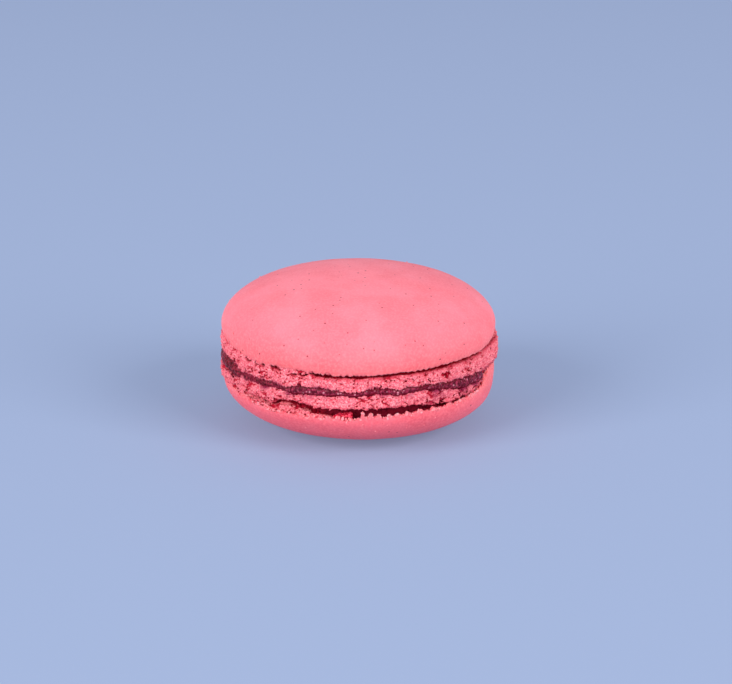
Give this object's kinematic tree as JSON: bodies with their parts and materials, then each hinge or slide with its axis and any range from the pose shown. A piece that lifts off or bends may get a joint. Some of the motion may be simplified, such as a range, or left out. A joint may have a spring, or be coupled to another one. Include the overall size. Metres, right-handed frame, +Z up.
{
  "type": "french macaron",
  "caption": "Round pink meringue sandwich biscuit: smooth domed shells with ruffled feet, pressed on a thin layer of dark fruit jam, lying on its lower dome.",
  "frame": {"origin": "on the surface that the macaron rests on, under the middle of its box", "axes": "+Z up through both shells, -Y is the front with the widest opening between the lower crust and its foot, +X to the right seen from the front"},
  "size_m": [0.0454, 0.045, 0.025],
  "materials": {
    "meringue_shell": "baked almond meringue dyed raspberry pink: matte, fine grained crust with a coarse, torn foam foot",
    "fruit_jam": "dark wine red fruit jam, wet and slightly grainy"
  },
  "bodies": {
    "root": {"lower_shell": "meringue_shell", "jam_filling": "fruit_jam", "upper_shell": "meringue_shell"}
  },
  "joints": []
}
